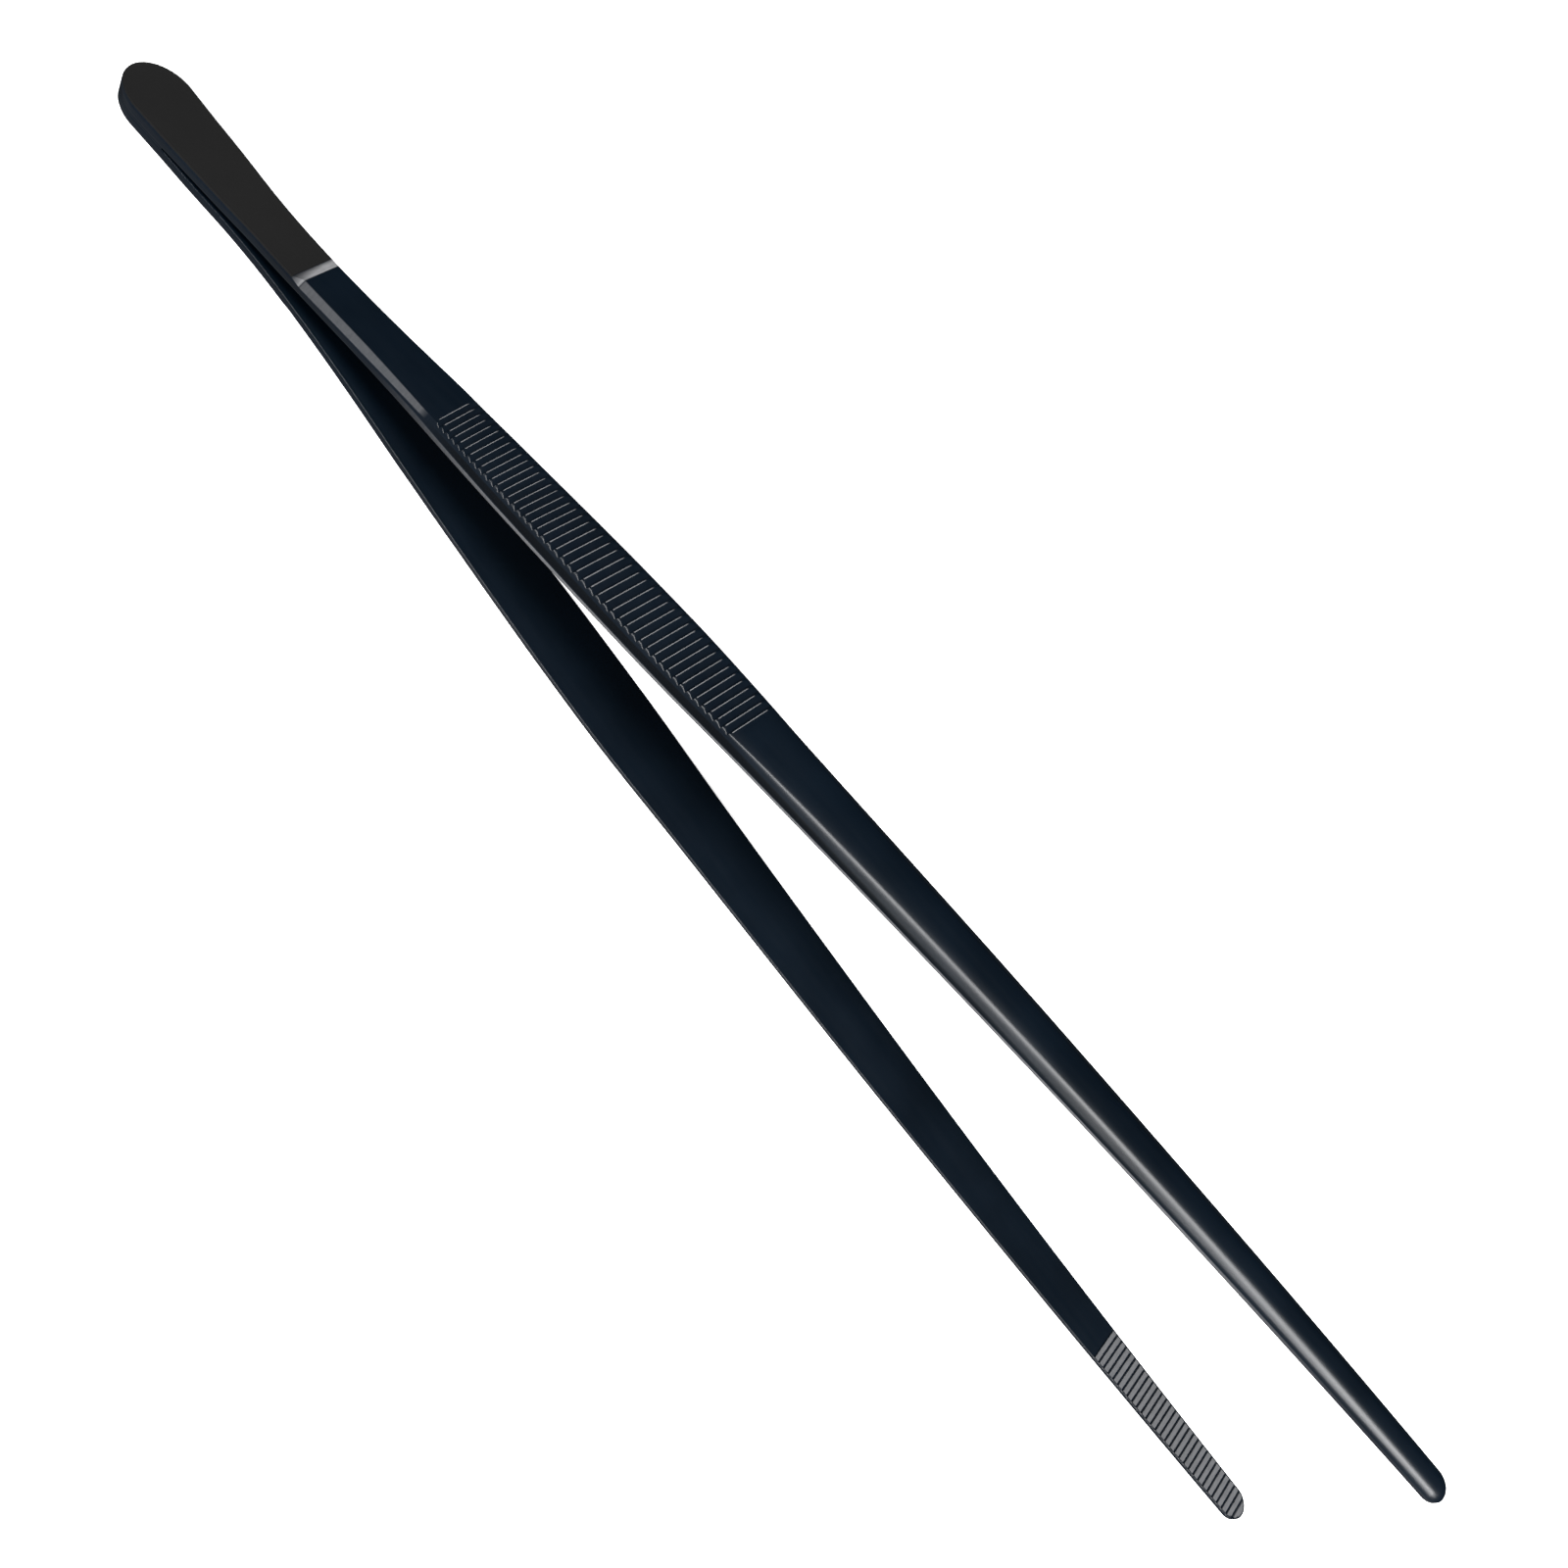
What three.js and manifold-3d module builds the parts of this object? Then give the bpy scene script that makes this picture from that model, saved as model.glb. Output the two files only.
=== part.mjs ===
// Long straight tweezers for planting an aquarium, lying on the edges of their two arms.
// Millimetres. +X runs from the head to the tips, +Y is the left arm's side, +Z is up.
// Two arms of one pattern are fused at a flat round head, and each arm's thin neck is its spring.

import * as THREE from 'three';
import { mergeVertices } from 'three/addons/utils/BufferGeometryUtils.js';
import Module from 'manifold-3d';

const wasm = await Module();
wasm.setup();

// Driving dimensions
const LENGTH = 300;          // head end to tips
const SEAM = 0.4;            // distance between the two inner faces at the head
const WELD_LENGTH = 14;      // how far the fused stretch reaches from the head end
const WELD_CLEARANCE = 0.03; // weld to each arm's inner face
const WELD_INSET = 0.06;     // weld's edge behind the arms' edges
const HEAD_ROUND = 7;        // length of the head's rounded end
const TIP_ROUND = 3;         // length of the tip's rounded end
const NECK = 27;             // where the arm flexes, and where its heel ends
const NECK_GAP = 0.3;        // clear gap at the flexing place
const GRIP_START = 74;       // divisions between the rigid stretches of the arm
const GRIP_END = 146;
const SHAFT_END = 222;
const DIVISION_GAP = 0.04;
const RING_STEP = 6;         // longest distance between two rings of the surface
const MAX_HALF_WIDTH = 6.55; // widest place, at the finger grip

// Distance of the inner face from the seam's face, along the arm: [x, offset]
const BOW = [
  [WELD_LENGTH, 0], [20, 0.22], [30, 0.48], [45, 1.5], [75, 5.05], [140, 12.05], [220, 18.5], [LENGTH, 21.8],
];

// Half of the arm's width, along the arm: [x, half width]
const WIDTH = [
  [HEAD_ROUND, 5.55], [20, 5.05], [33, 4.4], [46, 4.35], [62, 4.65], [88, 5.8], [108, 6.4],
  [118, MAX_HALF_WIDTH], [130, MAX_HALF_WIDTH], [150, 5.95], [190, 5.1], [240, 3.95], [LENGTH, 2.7],
];

// Outer side of the section along the arm: the height of the square edge, then a flank point and a
// shoulder point, each as [distance in from the edge, height]. The face between shoulders is flat.
const PADDLE = { edge: 1.5, flank: [0.12, 1.78], shoulder: [0.28, 1.95] };
const STEP_FOOT = { edge: 1.35, flank: [0.12, 1.63], shoulder: [0.28, 1.8] };
const STEP_TOP = { edge: 1.3, flank: [0.4, 1.85], shoulder: [0.94, 2.6] };
const BODY = { edge: 1.15, flank: [0.36, 1.8], shoulder: [0.95, 2.6] };
const GRIP = { edge: 0.7, flank: [0.65, 1.85], shoulder: [1.5, 2.55] };
const GRIP_TAIL = { edge: 0.6, flank: [0.65, 1.75], shoulder: [1.45, 2.5] };
const SHAFT = { edge: 0.6, flank: [0.65, 1.4], shoulder: [1.8, 2.25] };
const TIP = { edge: 0.6, flank: [0.45, 1.15], shoulder: [1.2, 1.7] };
const OUTSIDE = [
  [0, PADDLE], [WELD_LENGTH, PADDLE], [43.2, STEP_FOOT], [45.2, STEP_TOP], [GRIP_START, BODY],
  [92, GRIP], [143, GRIP_TAIL], [180, SHAFT], [LENGTH, TIP],
];

// Finger grip: saw-toothed ridges across the outer face, steep side towards the head
const RIDGES = 47;
const RIDGE_START = 75.9;
const RIDGE_PITCH = 1.452;
const RIDGE_DEPTH = 0.32;
const RIDGE_STEEP = 0.22;    // run of the steep side along the arm
const RIDGE_SKIM = 0.03;     // crest below the plain face

// Tip teeth: grooves across the inner face, with flat teeth between them
const TEETH = 29;
const TEETH_START = 261.7;
const TOOTH_PITCH = 1.27;
const TOOTH_GROOVE = 0.44;
const TOOTH_DEPTH = 0.3;

const coating = new THREE.MeshStandardMaterial({ color: 0x151c26, roughness: 0.35, metalness: 0.85 });
const weldCoating = new THREE.MeshStandardMaterial({ color: 0x12181f, roughness: 0.45, metalness: 0.8 });

// Smooth curve through [x, value] pairs, held level before the first and after the last
function smooth(pairs, x) {
  const last = pairs.length - 1;
  if (x <= pairs[0][0]) return pairs[0][1];
  if (x >= pairs[last][0]) return pairs[last][1];
  const i = pairs.findIndex((pair) => x < pair[0]) - 1;
  const rise = (from, to) => (pairs[to][1] - pairs[from][1]) / (pairs[to][0] - pairs[from][0]);
  const span = pairs[i + 1][0] - pairs[i][0];
  const chord = rise(i, i + 1);
  let startSlope = i > 0 ? rise(i - 1, i + 1) : null;
  let endSlope = i + 1 < last ? rise(i, i + 2) : null;
  startSlope ??= 2 * chord - endSlope;
  endSlope ??= 2 * chord - startSlope;
  const t = (x - pairs[i][0]) / span;
  const bulge = (1 - t) * (startSlope - chord) - t * (endSlope - chord);
  return pairs[i][1] + span * (chord * t + bulge * t * (1 - t));
}

const innerFace = (x) => SEAM / 2 + smooth(BOW, x);

// The outer side at x, between the two named sections around it
function outside(x) {
  const next = Math.max(1, OUTSIDE.findIndex(([station]) => x <= station));
  const [start, from] = OUTSIDE[next - 1];
  const [end, to] = OUTSIDE[next];
  const t = (x - start) / (end - start);
  const mix = (a, b) => THREE.MathUtils.lerp(a, b, t);
  return {
    edge: mix(from.edge, to.edge),
    flank: from.flank.map((value, k) => mix(value, to.flank[k])),
    shoulder: from.shoulder.map((value, k) => mix(value, to.shoulder[k])),
  };
}

// One ring of the arm's surface, counter-clockwise about +X. spread narrows the ring and rise
// lowers its outer side, both 1 away from the rounded ends.
function armRing(x, spread = 1, rise = 1) {
  const { edge, flank, shoulder } = outside(x);
  const half = smooth(WIDTH, x);
  const corners = [[0, 0], [0, edge], flank, shoulder];
  const lower = corners.map(([inset, height]) => [x, innerFace(x) + height * rise, spread * (inset - half)]);
  const upper = lower.map(([, y, z]) => [x, y, -z]).reverse();
  return [...lower, ...upper];
}

// A closed body through rings that all have the same number of points
function loft(rings) {
  const count = rings[0].length;
  const last = (rings.length - 1) * count;
  const index = [];
  for (let start = 0; start < last; start += count) {
    for (let i = 0; i < count; i++) {
      const a = start + i;
      const b = start + (i + 1) % count;
      index.push(a, b, b + count, a, b + count, a + count);
    }
  }
  for (let i = 1; i < count - 1; i++) {
    index.push(0, i + 1, i, last, last + i, last + i + 1);
  }
  const geometry = new THREE.BufferGeometry();
  geometry.setAttribute('position', new THREE.Float32BufferAttribute(rings.flat(2), 3));
  geometry.setIndex(index);
  return geometry;
}

function toSolid(geometry) {
  geometry.deleteAttribute('normal');
  geometry.deleteAttribute('uv');
  const merged = mergeVertices(geometry);
  const vertProperties = new Float32Array(merged.attributes.position.array);
  const triVerts = new Uint32Array(merged.index.array);
  return new wasm.Manifold(new wasm.Mesh({ numProp: 3, vertProperties, triVerts }));
}

function toGeometry(solid) {
  const mesh = solid.getMesh();
  const geometry = new THREE.BufferGeometry();
  geometry.setAttribute('position', new THREE.BufferAttribute(mesh.vertProperties, 3));
  geometry.setIndex(new THREE.BufferAttribute(mesh.triVerts, 1));
  geometry.computeVertexNormals();
  return geometry;
}

// A bar across the arm whose end outline is the given [x, y] points
function crossBar(points) {
  const depth = 2 * (MAX_HALF_WIDTH + 1);
  const outline = new THREE.Shape(points.map(([x, y]) => new THREE.Vector2(x, y)));
  const bar = new THREE.ExtrudeGeometry(outline, { depth, bevelEnabled: false });
  return bar.translate(0, 0, -depth / 2);
}

// Rounded end angles, from nearly closed to full width
function roundAngles(steps) {
  const first = 0.1;
  return Array.from({ length: steps }, (_, i) => first + (Math.PI / 2 - first) * i / (steps - 1));
}

function headRings() {
  const angles = roundAngles(8);
  return angles.map((angle) => armRing(HEAD_ROUND * (Math.cos(angles[0]) - Math.cos(angle)), Math.sin(angle)));
}

function tipRings() {
  const angles = roundAngles(6).reverse();
  const lowest = 0.45;
  return angles.map((angle) => {
    const spread = Math.sin(angle);
    const x = LENGTH - TIP_ROUND * (Math.cos(angles.at(-1)) - Math.cos(angle));
    return armRing(x, spread, lowest + (1 - lowest) * spread);
  });
}

// Rings along a stretch of the arm, evenly spaced and at every change of section
function stretchRings(from, to) {
  const steps = Math.ceil((to - from) / RING_STEP);
  const even = Array.from({ length: steps + 1 }, (_, i) => from + (to - from) * i / steps);
  const changes = OUTSIDE.map(([x]) => x).filter((x) => x > from && x < to);
  const stations = [...new Set([...even, ...changes])].sort((a, b) => a - b);
  return stations.map((x) => armRing(x));
}

function heel() {
  return loft([...headRings(), ...stretchRings(HEAD_ROUND + 1, NECK - NECK_GAP / 2)]);
}

function neck() {
  return loft(stretchRings(NECK + NECK_GAP / 2, GRIP_START - DIVISION_GAP / 2));
}

function shaft() {
  return loft(stretchRings(GRIP_END + DIVISION_GAP / 2, SHAFT_END - DIVISION_GAP / 2));
}

// One ridge's cutter: a long gentle side down to the valley, then the steep side up
function ridgeCutter(i) {
  const crest = RIDGE_START + i * RIDGE_PITCH;
  const valley = crest + RIDGE_PITCH - RIDGE_STEEP;
  const nextCrest = crest + RIDGE_PITCH;
  const face = (x) => innerFace(x) + outside(x).shoulder[1] - RIDGE_SKIM;
  const low = [valley, face(valley) - RIDGE_DEPTH];
  const beyond = (x, times) => [
    low[0] + (x - low[0]) * times,
    low[1] + (face(x) - low[1]) * times,
  ];
  return crossBar([low, beyond(nextCrest, 2), beyond(crest, 1.5)]);
}

// One groove between two tip teeth
function toothCutter(i) {
  const x = TEETH_START + i * TOOTH_PITCH;
  const face = innerFace(x);
  return crossBar([
    [x, face + TOOTH_DEPTH],
    [x - TOOTH_GROOVE, face - TOOTH_DEPTH],
    [x + TOOTH_GROOVE, face - TOOTH_DEPTH],
  ]);
}

function grip() {
  let body = toSolid(loft(stretchRings(GRIP_START + DIVISION_GAP / 2, GRIP_END - DIVISION_GAP / 2)));
  for (let i = 0; i < RIDGES; i++) {
    body = body.subtract(toSolid(ridgeCutter(i)));
  }
  return toGeometry(body);
}

function tip() {
  const straight = stretchRings(SHAFT_END + DIVISION_GAP / 2, LENGTH - TIP_ROUND - 1);
  let body = toSolid(loft([...straight, ...tipRings()]));
  for (let i = 0; i < TEETH; i++) {
    body = body.subtract(toSolid(toothCutter(i)));
  }
  return toGeometry(body);
}

// The fused seam between the two heels, as a plate with the head's outline
function headWeld() {
  const depth = SEAM - 2 * WELD_CLEARANCE;
  const along = roundAngles(8).map((angle) => [
    WELD_INSET + HEAD_ROUND * (1 - Math.cos(angle)),
    (smooth(WIDTH, 0) - WELD_INSET) * Math.sin(angle),
  ]);
  along.push([10, smooth(WIDTH, 10) - WELD_INSET], [WELD_LENGTH, smooth(WIDTH, WELD_LENGTH) - WELD_INSET]);
  const outline = [...along, ...along.map(([x, half]) => [x, -half]).reverse()];
  const shape = new THREE.Shape(outline.map(([x, half]) => new THREE.Vector2(x, half)));
  const plate = new THREE.ExtrudeGeometry(shape, { depth, bevelEnabled: false });
  return plate.translate(0, 0, -depth / 2).rotateX(Math.PI / 2);
}

function named(name, geometry, material) {
  const mesh = new THREE.Mesh(geometry, material);
  mesh.name = name;
  return mesh;
}

function arm(side) {
  const group = new THREE.Group();
  group.add(named(`${side}_arm_heel`, heel(), coating));
  group.add(named(`${side}_arm_neck`, neck(), coating));
  group.add(named(`${side}_arm_grip`, grip(), coating));
  group.add(named(`${side}_arm_shaft`, shaft(), coating));
  group.add(named(`${side}_arm_tip`, tip(), coating));
  return group;
}

const tweezers = new THREE.Group();
const leftArm = arm('left');
const rightArm = arm('right');
rightArm.rotation.x = Math.PI;
tweezers.add(leftArm, rightArm, named('head_weld', headWeld(), weldCoating));
tweezers.position.set(-LENGTH / 2, 0, MAX_HALF_WIDTH);

export default tweezers;
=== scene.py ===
# Long straight planting tweezers: two black-coated steel arms fused at a flat round head.
import math

import bmesh
import bpy
import numpy as np
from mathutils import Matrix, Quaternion, Vector


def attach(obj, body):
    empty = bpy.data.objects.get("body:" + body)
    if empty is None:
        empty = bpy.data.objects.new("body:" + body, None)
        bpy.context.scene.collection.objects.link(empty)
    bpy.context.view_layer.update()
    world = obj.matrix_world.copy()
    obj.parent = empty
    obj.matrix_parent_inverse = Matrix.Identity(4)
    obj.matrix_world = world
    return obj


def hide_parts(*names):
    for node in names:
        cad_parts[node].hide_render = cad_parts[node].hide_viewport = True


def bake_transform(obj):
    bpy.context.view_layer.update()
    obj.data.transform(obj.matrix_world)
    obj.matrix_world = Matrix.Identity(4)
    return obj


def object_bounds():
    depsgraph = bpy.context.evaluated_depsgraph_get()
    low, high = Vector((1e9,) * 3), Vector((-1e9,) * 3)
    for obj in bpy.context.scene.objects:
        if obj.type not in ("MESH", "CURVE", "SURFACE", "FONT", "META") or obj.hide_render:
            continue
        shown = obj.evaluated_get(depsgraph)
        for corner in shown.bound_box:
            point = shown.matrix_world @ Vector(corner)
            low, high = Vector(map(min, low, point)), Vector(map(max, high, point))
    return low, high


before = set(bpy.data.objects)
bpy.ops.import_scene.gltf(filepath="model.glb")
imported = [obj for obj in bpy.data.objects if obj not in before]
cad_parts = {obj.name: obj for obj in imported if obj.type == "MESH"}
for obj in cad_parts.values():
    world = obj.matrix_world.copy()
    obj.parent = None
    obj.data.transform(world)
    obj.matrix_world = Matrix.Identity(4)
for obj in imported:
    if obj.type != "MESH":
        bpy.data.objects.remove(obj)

cad_low, cad_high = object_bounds()
MM = 0.001

# ---------------------------------------------------------------- sizes, mm, x from the head end
# An inset is a distance in from the arm's edge, and a height is one out from its inner face.
LENGTH = (cad_high[0] - cad_low[0]) / MM
HEAD_X = cad_low[0] / MM
MID_Z = (cad_low[2] + cad_high[2]) / 2 / MM
SEAM = 0.4
WELD_LENGTH = 14.0
HEAD_ROUND = 7.0
TIP_ROUND = 3.0
STEP_START, STEP_END = 43.2, 45.2
GRIP_TAIL = 143.0

# Distance of the inner face from the seam's face, along the arm
BOW = [(14, 0), (20, 0.22), (30, 0.48), (45, 1.5), (75, 5.05), (140, 12.05), (220, 18.5), (LENGTH, 21.8)]
# Half of the arm's width, along the arm
WIDTH = [
    (HEAD_ROUND, 5.55), (20, 5.05), (33, 4.4), (46, 4.35), (62, 4.65), (88, 5.8), (108, 6.4),
    (118, 6.55), (130, 6.55), (150, 5.95), (190, 5.1), (240, 3.95), (LENGTH, 2.7),
]
# Outer side of the section: x, edge height, flank inset and height, shoulder inset and height,
# crown height, and how round the profile is between those points (0 faceted, 1 a smooth dome)
OUTSIDE = [
    (0, 1.50, 0.12, 1.78, 0.28, 1.95, 1.95, 0),
    (WELD_LENGTH, 1.50, 0.12, 1.78, 0.28, 1.95, 1.95, 0),
    (STEP_START, 1.35, 0.12, 1.63, 0.28, 1.80, 1.80, 0),
    (STEP_END, 1.30, 0.02, 1.33, 0.94, 2.60, 2.62, 0),
    (60, 1.25, 0.12, 1.48, 1.00, 2.64, 2.70, 0),
    (74, 1.15, 0.36, 1.78, 0.95, 2.60, 2.75, 0.1),
    (80, 1.00, 0.50, 1.85, 1.15, 2.52, 2.72, 0.7),
    (92, 0.70, 0.65, 1.85, 1.50, 2.50, 2.70, 1),
    (GRIP_TAIL, 0.60, 0.65, 1.72, 1.45, 2.46, 2.66, 1),
    (150, 0.60, 0.60, 1.54, 1.75, 2.42, 2.62, 1),
    (160, 0.60, 0.55, 1.38, 2.05, 2.36, 2.60, 1),
    (180, 0.60, 0.55, 1.24, 2.20, 2.26, 2.58, 1),
    (220, 0.60, 0.45, 1.12, 2.00, 2.08, 2.34, 1),
    (260, 0.65, 0.52, 1.32, 1.88, 2.04, 2.20, 1),
    (LENGTH, 0.70, 0.58, 1.40, 1.50, 1.84, 1.95, 1),
]

# Grip ridges: (ridge number, x) along the middle of the arm, and how far they lean off square.
# A ridge's phase runs from 0 at its crest to 1 at the next crest.
RIDGES = 47
RIDGE_PLACES = [(0, 76.0), (8, 86.1), (20, 102.3), (31, 119.9), (46, 142.8)]
RIDGE_LEAN = 0.08
RIDGE_DEPTH = 0.48
CREST_HALF = 0.04
CREST_SIDE = 0.055
SLOPE_PHASES = (0.2, 0.33, 0.46, 0.59, 0.73)
VALLEY = 0.86
RISE_PHASE = 0.9

# Tip teeth: lands and flat-bottomed grooves across the inner face
TEETH = 29
TEETH_START = 261.7
TOOTH_PITCH = 1.27
GROOVE_HALF = 0.23
GROOVE_FLOOR_HALF = 0.15
GROOVE_DEPTH = 0.22
GROOVE_LIP = 0.02

# A half ring's first points: the inner face, its rounded edge from ROUND_AT, the side wall from
# WALL_AT, then the outer side from OUTER_AT, whose flank and shoulder take these many points
ROUND_AT = 8
WALL_AT = 11
OUTER_AT = 13
FLANK_POINTS = 6
SHOULDER_POINTS = 10
FACE_SHARES = (1, 0.8, 0.5, 0.25, 0.12)
BORDER_INSETS = (0.3, 0.24, 0.19)
TOP_SHARES = (0.02, 0.045, 0.07, 0.1, 0.14, 0.2, 0.3, 0.45, 0.7, 1.0)
WALL_SHARES = (0.35, 0.7)
SHARP_ANGLE = 32                              # edges that bend more than this are drawn crisp

# State of the coating and painted light: 1 is bare steel, used for wear and for painted highlights, 0 is
# full coating, and below 0 is painted shade that darkens the coating
LAND_WEAR = 0.42
LAND_BORDER = 0.28                            # coated rim round the tip teeth
# Crest lines: wear and a painted highlight
CREST_WEAR_AND_HIGHLIGHT = 0.6
CREST_FROM_UPPER, CREST_FROM_LOWER = 1.8, 2.5  # insets between which a crest is painted bright, as wear and a painted highlight
# Edge wear and a painted highlight on the rounded edge and side wall, much weaker on the right arm
EDGE_WEAR_AND_HIGHLIGHT = {1: 0.42, -1: 0.0504}             # left arm, right arm
# Painted shade on the flank of the grip and shaft
FLANK_SHADE = -0.7
# Painted highlight on the upper bevel before the grip
BEVEL_HIGHLIGHT = 0.18
# Painted highlight on the step's ramp: its middle, slope and range across the arm
RAMP_MIDDLE, RAMP_SLOPE, RAMP_RANGE = 1.6, 0.28, (0.45, 2.4)

# Colours, linear, and the light that the object sees from above and below
NAVY = (0.0008, 0.0027, 0.0056)
# Bare steel colour, used for worn places and for painted highlights
STEEL_AND_HIGHLIGHT = (0.189, 0.190, 0.196)
CHARCOAL = (0.0043, 0.0043, 0.0043)
WORLD_ABOVE = 0.25
WORLD_BELOW = 0.03

# Camera: where it aims (x, y), its azimuth, elevation and roll in degrees, its distance and its lens
CAMERA_AIM = (3.5, 11.0)
CAMERA_ANGLES = (0.88, 37.63, -130.5)
CAMERA_DISTANCE = 273.8
CAMERA_LENS = 40.5


# ---------------------------------------------------------------- curves
def smooth(pairs, x):
    """Smooth curve through (x, value) pairs, level outside them."""
    px, py = np.array(pairs, float).T
    slope = np.empty_like(px)
    chord = np.diff(py) / np.diff(px)
    slope[1:-1] = (py[2:] - py[:-2]) / (px[2:] - px[:-2])
    slope[0] = 2 * chord[0] - slope[1]
    slope[-1] = 2 * chord[-1] - slope[-2]
    x = np.clip(x, px[0], px[-1])
    i = np.clip(np.searchsorted(px, x, side="right") - 1, 0, len(px) - 2)
    span = px[i + 1] - px[i]
    t = (x - px[i]) / span
    bulge = (1 - t) * (slope[i] - chord[i]) - t * (slope[i + 1] - chord[i])
    return py[i] + span * (chord[i] * t + bulge * t * (1 - t))


def ease(low, high, x):
    t = np.clip((x - low) / (high - low), 0, 1)
    return t * t * (3 - 2 * t)


def inner_face(x):
    return SEAM / 2 + smooth(BOW, x)


def outside(x):
    """Edge height, flank, shoulder, crown and roundness of the section at x."""
    table = np.array(OUTSIDE, float)
    return [float(np.interp(x, table[:, 0], table[:, k])) for k in range(1, table.shape[1])]


def lean(x):
    """How far the ridges lean off square: none at the start of the grip."""
    return RIDGE_LEAN * float(ease(76, 100, x) * (1 - ease(GRIP_TAIL, 152, x)))


def ridge_depth(phase):
    """Depth of the grip grooves, 0 to 1, at a phase from one crest (0) to the next (1)."""
    if phase < CREST_HALF or phase > 1 - CREST_HALF:
        return 0.0
    if phase < VALLEY:
        return ((phase - CREST_HALF) / (VALLEY - CREST_HALF)) ** 0.8
    return (1 - CREST_HALF - phase) / (1 - CREST_HALF - VALLEY)


def groove_depth(x):
    """Depth of the tip grooves, 0 to 1, at x."""
    k = round((x - TEETH_START) / TOOTH_PITCH)
    if not 0 <= k <= TEETH:
        return 0.0
    away = abs(x - TEETH_START - k * TOOTH_PITCH)
    return min(1.0, max(0.0, (GROOVE_HALF - away) / (GROOVE_HALF - GROOVE_FLOOR_HALF)))


# ---------------------------------------------------------------- rows along the arm
# A row is (outline x, half width, inward normal x, inward normal z, ridge depth, crest)
def head_rows():
    rows = []
    half = float(smooth(WIDTH, 0))
    for angle in np.radians([0, 3, 7, 12, 18, 25, 32, 39, 46, 53, 60, 67, 74, 80, 85]):
        normal = Vector((math.cos(angle) / HEAD_ROUND, -math.sin(angle) / half)).normalized()
        x = HEAD_ROUND * (1 - math.cos(angle))
        rows.append((x, half * math.sin(angle), normal.x, normal.y, 0, 0))
    return rows


def straight_rows(stations):
    return [(x, float(smooth(WIDTH, x)), 0.0, -1.0, 0, 0) for x in stations]


def ridge_rows():
    rows = []
    places = [float(smooth(RIDGE_PLACES, k)) for k in range(RIDGES)]
    places.append(2 * places[-1] - places[-2])
    steps = [(-CREST_SIDE, 0), (-CREST_HALF, 1), (CREST_HALF, 1), (CREST_SIDE, 0)]
    steps += [(phase, 0) for phase in (*SLOPE_PHASES, VALLEY, RISE_PHASE)]
    for k in range(RIDGES):
        pitch = places[k + 1] - places[k]
        for phase, crest in steps:
            if k == RIDGES - 1 and phase > CREST_SIDE:
                break
            x = places[k] + phase * pitch
            depth = 0 if k == 0 and phase < 0 else ridge_depth(phase % 1)
            rows.append((x, float(smooth(WIDTH, x)), 0.0, -1.0, depth, crest))
    return rows


def tip_rows():
    """Straight rows to the very end: the outline closes in a half ellipse."""
    stations = []
    for k in range(TEETH + 1):
        groove = TEETH_START + k * TOOTH_PITCH
        for step in (GROOVE_FLOOR_HALF, GROOVE_HALF, GROOVE_HALF + GROOVE_LIP):
            stations += [groove - step, groove + step]
        stations += [groove + TOOTH_PITCH / 2]
    last = LENGTH - TIP_ROUND
    stations = [x for x in stations if x < last + 1.6]
    stations += [LENGTH - TIP_ROUND * (1 - math.sin(angle)) for angle in np.radians(range(34, 91, 4))]
    rows = []
    for x in sorted(stations):
        half = float(smooth(WIDTH, x))
        if x > last:
            half *= math.sqrt(max(0.0, 1 - ((x - last) / TIP_ROUND) ** 2))
        rows.append((x, half, 0.0, -1.0, 0, 0))
    return rows


def arm_rows():
    rows = head_rows()
    rows += straight_rows(np.arange(HEAD_ROUND, WELD_LENGTH + 0.01, 1.0))
    stations = list(np.arange(WELD_LENGTH + 1, STEP_START - 0.2, 1.1))
    stations += [STEP_START + away for away in (-0.12, 0, 0.12, 0.5, 0.9)]
    stations += [STEP_END + away for away in (-0.7, -0.3, -0.12, 0, 0.12, 0.5)]
    stations += list(np.arange(STEP_END + 1.2, RIDGE_PLACES[0][1] - 0.3, 0.8))
    rows += straight_rows(stations)
    rows += ridge_rows()
    rows += straight_rows(np.arange(RIDGE_PLACES[-1][1] + 0.6, TEETH_START - 1, 1.3))
    return rows + tip_rows()


def profile(x, reach):
    """The outer half of the section at x, from the edge to the middle, as insets and heights."""
    edge, flank_in, flank, shoulder_in, shoulder, crown, roundness = outside(x)
    flank_in = min(flank_in, 0.3 * reach)
    shoulder_in = min(shoulder_in, 0.7 * reach)
    inset = np.concatenate([
        np.linspace(0, flank_in, FLANK_POINTS),
        np.linspace(flank_in, shoulder_in, SHOULDER_POINTS)[1:],
        shoulder_in + (reach - shoulder_in) * np.array(TOP_SHARES),
    ])
    points = [(0, edge), (flank_in, flank), (shoulder_in, shoulder), (reach, crown)]
    flat = np.interp(inset, *np.array(points).T)
    mirrored = points + [(2 * reach - shoulder_in, shoulder)]
    dome = smooth(mirrored, inset)
    return inset, flat + (dome - flat) * roundness


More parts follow.
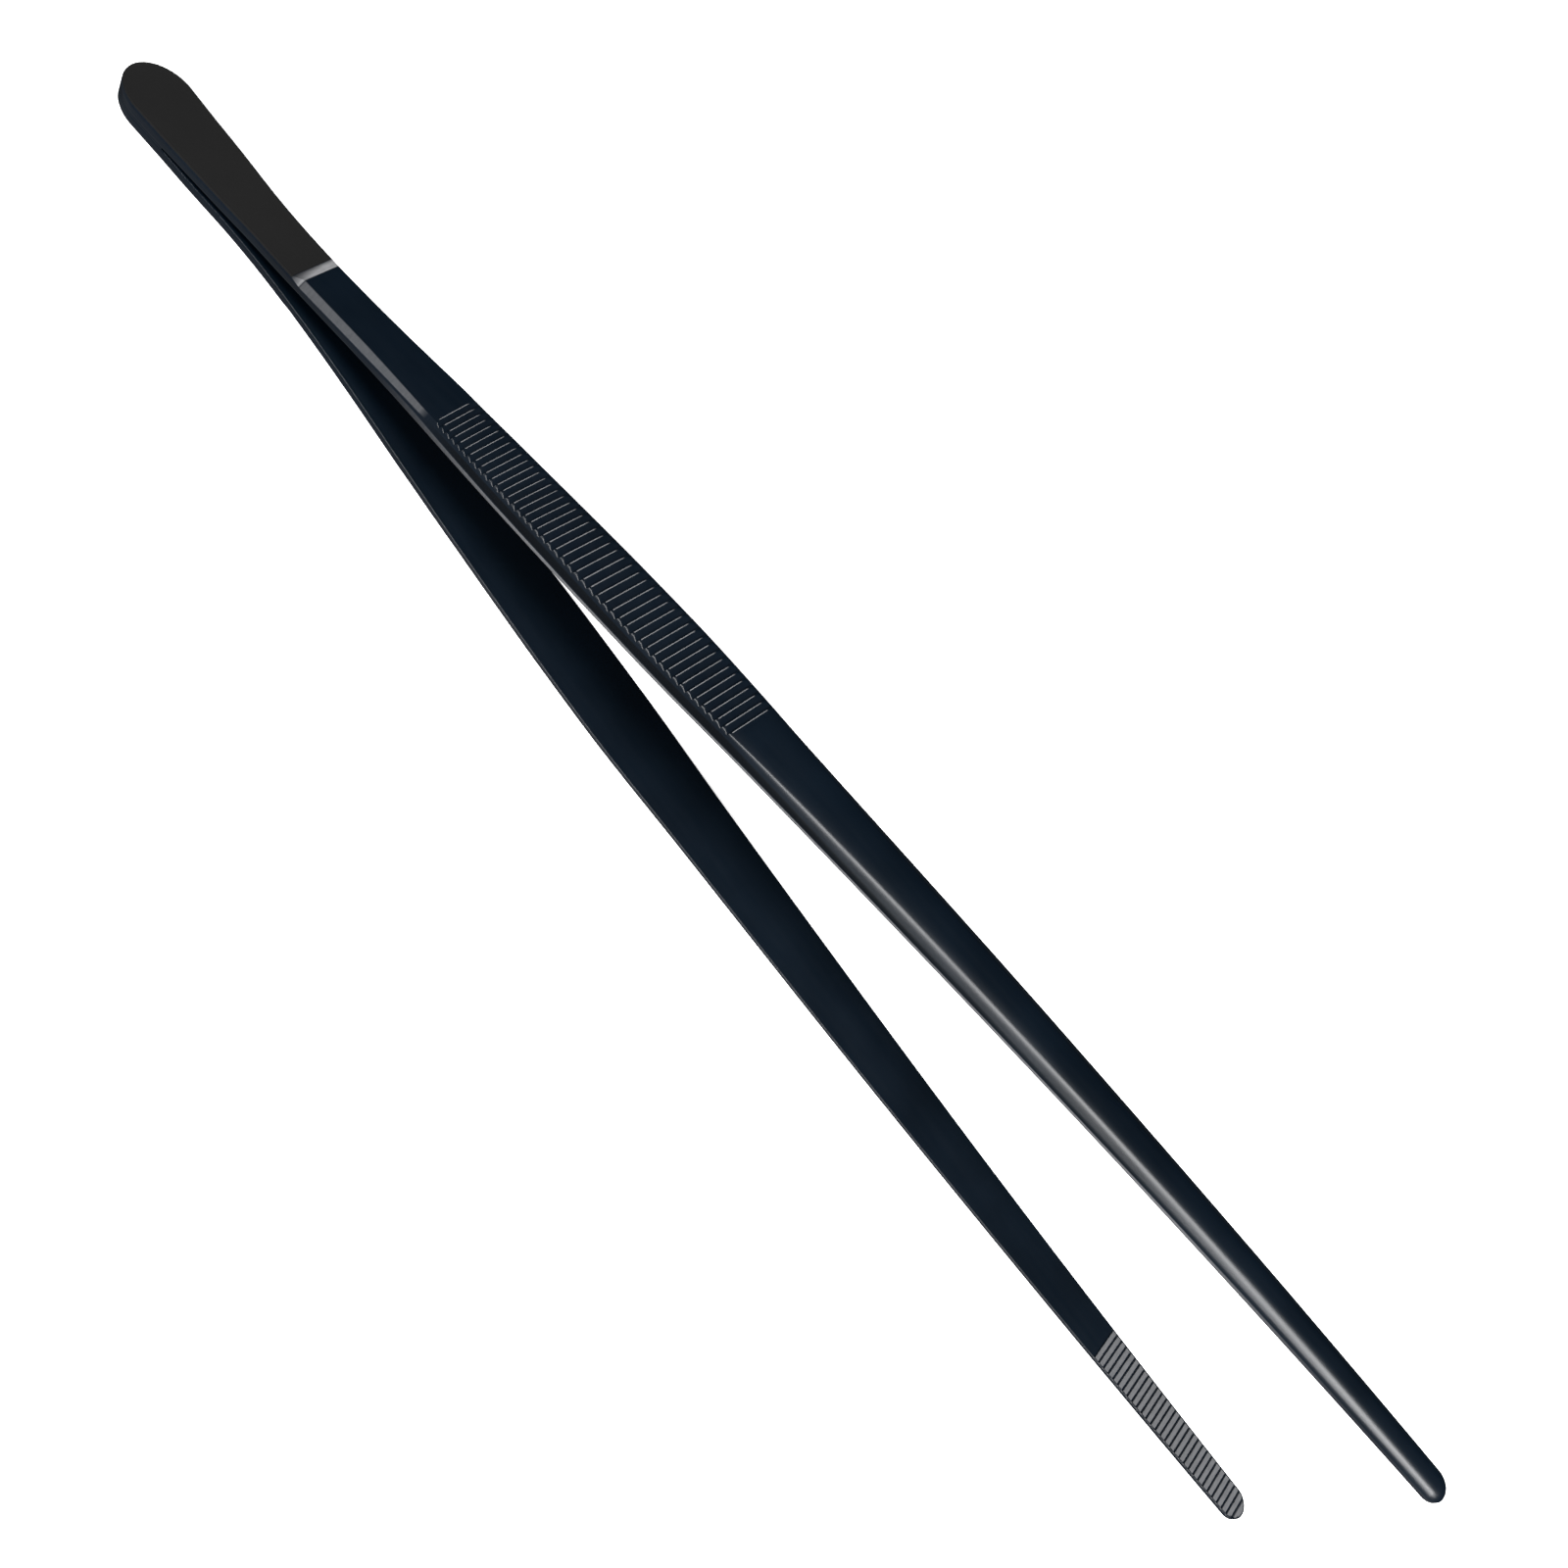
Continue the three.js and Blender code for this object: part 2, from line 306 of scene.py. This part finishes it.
# ---------------------------------------------------------------- meshes
def ring_mesh(name, rings, wear_and_painted_light, matt_faces=()):
    """A closed surface through rings of points, with a value of wear and painted light at each point.

    matt_faces is (rows, first, last): those faces of the first rows take the second material."""
    count = len(rings[0])
    points = np.concatenate(rings) * MM
    matt_rows, matt_first, matt_last = matt_faces or (0, 0, 0)
    faces = []
    finish = []
    for r in range(len(rings) - 1):
        for i in range(count):
            a = r * count + i
            b = r * count + (i + 1) % count
            faces.append((a, b, b + count, a + count))
            finish.append(int(r < matt_rows and matt_first <= i < matt_last))
    mesh = bpy.data.meshes.new(name)
    mesh.from_pydata([tuple(p) for p in points], [], faces)
    mesh.polygons.foreach_set("material_index", finish)
    attribute = mesh.attributes.new("wear_and_painted_light", "FLOAT", "POINT")
    attribute.data.foreach_set("value", np.concatenate(wear_and_painted_light).astype(np.float32))
    work = bmesh.new()
    work.from_mesh(mesh)
    bmesh.ops.remove_doubles(work, verts=work.verts, dist=2e-7)
    bmesh.ops.dissolve_degenerate(work, edges=work.edges, dist=1e-8)
    open_edges = [e for e in work.edges if e.is_boundary]
    if open_edges:
        bmesh.ops.holes_fill(work, edges=open_edges, sides=0)
    bmesh.ops.recalc_face_normals(work, faces=work.faces)
    work.to_mesh(mesh)
    work.free()
    mesh.shade_smooth()
    mesh.set_sharp_from_angle(angle=math.radians(SHARP_ANGLE))
    piece = bpy.data.objects.new(name, mesh)
    bpy.context.scene.collection.objects.link(piece)
    return piece


def edge_distance(x, z):
    """Distance in from the outline near the rounded tip end."""
    along = np.maximum(x - (LENGTH - TIP_ROUND), 1e-6)
    half = smooth(WIDTH, x)
    ratio = np.hypot(along / TIP_ROUND, z / half)
    gradient = np.hypot(along / TIP_ROUND ** 2, z / half ** 2)
    return np.maximum(0, (1 - ratio) * ratio / np.maximum(gradient, 1e-6))


def reach_in(half, normal_x, normal_z, full):
    """How far it is from the outline to the middle of the arm, along the inward normal."""
    if not normal_x:
        return full
    return half / -normal_z if half > 1e-6 else full ** 2 / HEAD_ROUND


def arm_ring(row, side):
    """One ring of an arm and its values of wear and painted light. side is +1 for the left arm."""
    x, half, normal_x, normal_z, depth, crest = row
    full = float(smooth(WIDTH, x))
    at_tip = x > LENGTH - TIP_ROUND
    reach = reach_in(half, normal_x, normal_z, full)
    edge, crown = outside(x)[0], outside(x)[5]
    round_in = 0.02 + 0.09 * float(ease(WELD_LENGTH - 1, WELD_LENGTH + 2, x))

    inset_in = [reach * share for share in FACE_SHARES]
    inset_in += [*BORDER_INSETS, round_in, 0.3 * round_in, 0, 0, 0]
    inset_out, height_out = profile(x, reach)
    inset = np.concatenate([inset_in, inset_out])
    inset = np.minimum(inset, reach)
    if at_tip:
        inset = inset * half / full

    sides = []
    wear_and_light_rings = []
    for up in (1, -1):
        px = x + inset * normal_x - up * lean(x) * (half - inset)
        pz = half + inset * normal_z
        if not normal_x and not at_tip:
            pz = smooth(WIDTH, px) - inset
        away = edge_distance(px, pz) if at_tip else inset
        if at_tip:
            height_out = tip_profile(x, away[OUTER_AT:])
        left_over = np.maximum(0, round_in - away)
        rounded = round_in - np.sqrt(np.maximum(0, round_in ** 2 - left_over ** 2))
        groove = np.array([groove_depth(v) for v in px]) * GROOVE_DEPTH * ease(0.1, 0.3, away)
        height = np.maximum(rounded, groove)
        height[WALL_AT:OUTER_AT] = round_in + (edge - round_in) * np.array(WALL_SHARES)
        height[OUTER_AT:] = np.minimum(height_out, crown - RIDGE_DEPTH * depth) if depth else height_out
        py = inner_face(px) + height
        sides.append(np.stack([px + HEAD_X, side * py, up * pz + MID_Z], 1))
        wear_and_light_rings.append(wear_and_light_values(x, px, away, crest, up, half, side))
    ring = np.concatenate([sides[0], sides[1][::-1][1:-1]])
    wear_and_painted_light = np.concatenate([wear_and_light_rings[0], wear_and_light_rings[1][::-1][1:-1]])
    return ring, wear_and_painted_light


def tip_profile(x, away):
    """Height of the outer side at a distance in from the rounded end."""
    edge, flank_in, flank, shoulder_in, shoulder, crown, _ = outside(x)
    full = float(smooth(WIDTH, x))
    points = [(0, edge), (flank_in, flank), (shoulder_in, shoulder), (full, crown)]
    return smooth(points + [(2 * full - shoulder_in, shoulder)], away)


def wear_and_light_values(x, px, away, crest, up, half, side):
    """Bare steel (1) for wear and painted highlights, full coating (0), or painted shade that darkens
    the coating (to -1) around one half ring.
    """
    wear_and_painted_light = np.zeros(len(px))
    outer = wear_and_painted_light[OUTER_AT:]
    inset = away[OUTER_AT:]
    between_grooves = np.array([groove_depth(v) < 0.01 for v in px])
    land = between_grooves & (px > TEETH_START + GROOVE_HALF + 0.01) & (away > LAND_BORDER)
    land[ROUND_AT:] = False
    wear_and_painted_light[land] = LAND_WEAR
    # crest lines: wear and a painted highlight
    if crest:
        outer[inset > (CREST_FROM_UPPER if up > 0 else CREST_FROM_LOWER)] = CREST_WEAR_AND_HIGHLIGHT
    # rounded edge and side wall: edge wear and a painted highlight, stronger on the left arm
    rubbed_and_lit = float(ease(60, 104, x)) * (1 - 0.9 * float(ease(235, 285, x)))
    wear_and_painted_light[ROUND_AT:OUTER_AT + 1] = EDGE_WEAR_AND_HIGHLIGHT[side] * rubbed_and_lit
    # painted shade: the flank of the grip and shaft is darkened
    outer[1:FLANK_POINTS] = FLANK_SHADE * float(ease(72, 84, x)) * (1 - float(ease(150, 260, x)))
    # painted highlight on the step's ramp
    if STEP_START - 0.05 < x < STEP_END + 0.2:
        outer[FLANK_POINTS - 1:] = ramp_highlight(x, up * (half - inset[FLANK_POINTS - 1:]))
    # painted highlight on the upper bevel
    if STEP_END + 0.1 < x < 75 and up > 0:
        _, flank_in, _, shoulder_in, _, _, _ = outside(x)
        on_bevel = (inset > flank_in - 0.01) & (inset < shoulder_in - 0.02)
        outer[on_bevel] = BEVEL_HIGHLIGHT * (1 - float(ease(72.8, 74.2, x)))
    return wear_and_painted_light


def ramp_highlight(x, height_z):
    """Painted highlight on the step's ramp: soft at its head end, crisp at the top, brightest at the
    lower side.
    """
    across = min(1.0, max(0.0, (x - STEP_START) / (STEP_END - STEP_START)))
    bright = across ** 0.8 if across < 0.8 else min(1.0, (1 - across) / 0.1)
    return bright * np.clip(RAMP_MIDDLE - RAMP_SLOPE * height_z, *RAMP_RANGE)


def build_arm(name, side):
    rows = arm_rows()
    rings, wear_and_painted_light = zip(*[arm_ring(row, side) for row in rows])
    matt_rows = sum(row[0] < STEP_START - 0.001 for row in rows)
    count = len(rings[0])
    shoulder_at = OUTER_AT + FLANK_POINTS - 1
    return ring_mesh(name, rings, wear_and_painted_light, (matt_rows, shoulder_at, count - shoulder_at))


def build_weld():
    """The fused seam between the two arms, a hair thicker than the seam."""
    rings = []
    thick = SEAM / 2 + 0.005
    rows = head_rows() + straight_rows(np.arange(HEAD_ROUND, WELD_LENGTH + 0.01, 1))
    for x, half, normal_x, normal_z, _, _ in rows:
        reach = reach_in(half, normal_x, normal_z, float(smooth(WIDTH, x)))
        shape = [(reach, -thick), (0.5 * reach, -thick), (0.01, -thick), (0, -thick * 0.9), (0, 0)]
        shape += [(0, thick * 0.9), (0.01, thick), (0.5 * reach, thick), (reach, thick)]
        inset, y = np.array(shape).T
        px = x + inset * normal_x + HEAD_X
        pz = half + inset * normal_z
        upper = np.stack([px, y, pz + MID_Z], 1)
        lower = np.stack([px, y, -pz + MID_Z], 1)[::-1][1:-1]
        rings.append(np.concatenate([upper, lower]))
    return ring_mesh("weld_bead", rings, [np.zeros(len(ring)) for ring in rings])


# ---------------------------------------------------------------- materials
class Shader:
    """A Principled material with a few short ways to add nodes."""

    def __init__(self, name):
        self.material = bpy.data.materials.new(name)
        self.material.use_nodes = True
        self.tree = self.material.node_tree
        self.bsdf = self.tree.nodes["Principled BSDF"]
        self.coords = self.node("ShaderNodeTexCoord").outputs["Object"]

    def node(self, kind, **values):
        made = self.tree.nodes.new(kind)
        for key, value in values.items():
            setattr(made, key, value)
        return made

    def link(self, start, end):
        self.tree.links.new(start, end)

    def noise(self, scale, detail=3, stretch=(1, 1, 1)):
        mapping = self.node("ShaderNodeMapping")
        mapping.inputs["Scale"].default_value = stretch
        self.link(self.coords, mapping.inputs["Vector"])
        made = self.node("ShaderNodeTexNoise")
        made.inputs["Scale"].default_value = scale
        made.inputs["Detail"].default_value = detail
        self.link(mapping.outputs["Vector"], made.inputs["Vector"])
        return made.outputs["Fac"]

    def spread(self, value, low, high):
        """Turn a noise value into low..high."""
        made = self.node("ShaderNodeMapRange")
        made.inputs["From Min"].default_value = 0.3
        made.inputs["From Max"].default_value = 0.7
        made.inputs["To Min"].default_value = low
        made.inputs["To Max"].default_value = high
        self.link(value, made.inputs["Value"])
        return made.outputs["Result"]

    def math(self, kind, a, b):
        made = self.node("ShaderNodeMath", operation=kind)
        for socket, value in zip(made.inputs, (a, b)):
            if hasattr(value, "is_linked"):
                self.link(value, socket)
            else:
                socket.default_value = value
        return made.outputs[0]

    def tinted(self, colour, amount):
        """A colour scaled by a value."""
        made = self.node("ShaderNodeVectorMath", operation="SCALE")
        made.inputs[0].default_value = colour
        self.link(amount, made.inputs["Scale"])
        return made.outputs["Vector"]

    def mix(self, factor, a, b):
        made = self.node("ShaderNodeMix", data_type="RGBA")
        self.link(factor, made.inputs["Factor"])
        for value, name in ((a, "A"), (b, "B")):
            socket = next(s for s in made.inputs if s.name == name and s.type == "RGBA")
            if hasattr(value, "is_linked"):
                self.link(value, socket)
            else:
                socket.default_value = (*value, 1)
        return next(s for s in made.outputs if s.type == "RGBA")

    def bump(self, height, distance, strength):
        made = self.node("ShaderNodeBump")
        made.inputs["Distance"].default_value = distance
        made.inputs["Strength"].default_value = strength
        self.link(height, made.inputs["Height"])
        self.link(made.outputs["Normal"], self.bsdf.inputs["Normal"])


def gloss_coating():
    """Blue-black coating on polished steel, with lengthwise polish, bare steel where it is worn and as
    painted highlights, and painted shade that darkens the coating.
    """
    shader = Shader("gloss_coating")
    blotch = shader.noise(60, 4)
    polish = shader.noise(900, 4, (0.04, 1, 1))
    grain = shader.noise(5000, 2)
    wear_and_painted_light = shader.node("ShaderNodeAttribute", attribute_name="wear_and_painted_light").outputs["Fac"]
    # painted shade: values below 0 darken the coating
    painted_shade_level = shader.math("ADD", shader.math("MINIMUM", wear_and_painted_light, 0.0), 1.0)
    coat = shader.tinted(NAVY, shader.math("MULTIPLY", painted_shade_level, shader.spread(blotch, 0.8, 1.2)))
    bare_and_highlight = shader.tinted(STEEL_AND_HIGHLIGHT, shader.spread(shader.noise(2500, 3, (1, 0.3, 0.3)), 0.88, 1.12))
    shader.link(shader.mix(wear_and_painted_light, coat, bare_and_highlight), shader.bsdf.inputs["Base Color"])
    rough = shader.math("ADD", shader.spread(blotch, 0.29, 0.33), shader.spread(polish, -0.02, 0.02))
    shader.link(rough, shader.bsdf.inputs["Roughness"])
    shader.bsdf.inputs["Specular IOR Level"].default_value = 0.34
    shader.bump(shader.math("ADD", polish, grain), 0.02 * MM, 0.05)
    return shader.material


def matt_coating():
    """The blasted face of the head: dry, fine-grained, with no shine."""
    shader = Shader("matt_coating")
    grain = shader.noise(6000, 2)
    cloud = shader.noise(120, 3)
    tone = shader.tinted(CHARCOAL, shader.spread(cloud, 0.93, 1.07))
    shader.link(tone, shader.bsdf.inputs["Base Color"])
    shader.link(shader.spread(grain, 0.72, 0.84), shader.bsdf.inputs["Roughness"])
    shader.bsdf.inputs["Specular IOR Level"].default_value = 0.15
    shader.bump(grain, 0.03 * MM, 0.12)
    return shader.material


def build_floor():
    """Plain white paper, seen directly but neither mirrored in the steel nor lighting it."""
    mesh = bpy.data.meshes.new("floor")
    size = 4.0
    corners = [(-size, -size, 0), (size, -size, 0), (size, size, 0), (-size, size, 0)]
    mesh.from_pydata(corners, [], [(0, 1, 2, 3)])
    floor = bpy.data.objects.new("floor", mesh)
    bpy.context.scene.collection.objects.link(floor)
    shader = Shader("floor_paper")
    paper = shader.tinted((0.9, 0.9, 0.9), shader.spread(shader.noise(30), 0.99, 1.0))
    shader.link(paper, shader.bsdf.inputs["Base Color"])
    shader.link(paper, shader.bsdf.inputs["Emission Color"])
    shader.bsdf.inputs["Roughness"].default_value = 0.9
    shader.bsdf.inputs["Specular IOR Level"].default_value = 0.0
    shader.bsdf.inputs["Emission Strength"].default_value = 0.7
    mesh.materials.append(shader.material)
    floor.visible_glossy = False
    floor.visible_diffuse = False


def add_light(kind, name, location, target, energy, **values):
    data = bpy.data.lights.new(name, kind)
    data.energy = energy
    for key, value in values.items():
        setattr(data, key, value)
    light = bpy.data.objects.new(name, data)
    light.location = location
    light.rotation_euler = (Vector(target) - Vector(location)).to_track_quat("-Z", "Y").to_euler()
    bpy.context.scene.collection.objects.link(light)
    return light


def build_world():
    """White where it is seen directly; in the lighting, a dim room that is darker below."""
    world = bpy.data.worlds.new("studio")
    world.use_nodes = True
    nodes, links = world.node_tree.nodes, world.node_tree.links
    coords = nodes.new("ShaderNodeTexCoord")
    parts = nodes.new("ShaderNodeSeparateXYZ")
    links.new(coords.outputs["Generated"], parts.inputs["Vector"])
    level = nodes.new("ShaderNodeMapRange")
    level.inputs["From Min"].default_value = -0.1
    level.inputs["From Max"].default_value = 0.3
    level.inputs["To Min"].default_value = WORLD_BELOW
    level.inputs["To Max"].default_value = WORLD_ABOVE
    links.new(parts.outputs["Z"], level.inputs["Value"])
    path = nodes.new("ShaderNodeLightPath")
    seen = nodes.new("ShaderNodeMix")
    seen.inputs["B"].default_value = 1.0
    links.new(path.outputs["Is Camera Ray"], seen.inputs["Factor"])
    links.new(level.outputs["Result"], seen.inputs["A"])
    links.new(seen.outputs["Result"], nodes["Background"].inputs["Strength"])
    nodes["Background"].inputs["Color"].default_value = (1, 1, 1, 1)
    bpy.context.scene.world = world


def build_lights():
    """Soft light from above for the matt tones, and a long strip in front for the bright lines."""
    build_world()
    overhead = add_light("SUN", "overhead", (0, 0, 1), (0, 0, 0), 5.0, angle=math.radians(90))
    overhead.visible_glossy = False
    strip = {"shape": "RECTANGLE", "size": 1.3, "size_y": 0.26}
    add_light("AREA", "front_strip", (0.2, 0.85, 0.24), (0.05, 0, 0), 20, **strip)
    add_light("AREA", "tip_fill", (0.45, 0.4, 0.25), (0.12, 0, 0), 2.2, size=0.25)


def build_camera():
    """A camera above and beside the left arm, rolled so that the arms run from corner to corner."""
    target = Vector((*CAMERA_AIM, MID_Z)) * MM
    azimuth, elevation, roll = (math.radians(angle) for angle in CAMERA_ANGLES)
    level = math.cos(elevation)
    away = Vector((-math.sin(azimuth) * level, math.cos(azimuth) * level, math.sin(elevation)))
    data = bpy.data.cameras.new("photo_camera")
    data.sensor_width = 36
    data.lens = CAMERA_LENS
    camera = bpy.data.objects.new("photo_camera", data)
    camera.location = target + away * (CAMERA_DISTANCE * MM)
    look = (-away).to_track_quat("-Z", "Y")
    camera.rotation_euler = (look @ Quaternion((0, 0, 1), roll)).to_euler()
    bpy.context.scene.collection.objects.link(camera)
    bpy.context.scene.camera = camera


build_camera()
gloss = gloss_coating()
matt = matt_coating()

for side_name, side in (("left", 1), ("right", -1)):
    arm = build_arm(f"{side_name}_arm_steel", side)
    arm.data.materials.append(gloss)
    arm.data.materials.append(matt)
    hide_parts(*[f"{side_name}_arm_{part}" for part in ("heel", "neck", "grip", "shaft", "tip")])
    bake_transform(arm)

weld = build_weld()
weld.data.materials.append(gloss)
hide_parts("head_weld")
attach(weld, "head")

build_floor()
build_lights()
bpy.context.scene.view_settings.view_transform = "Standard"
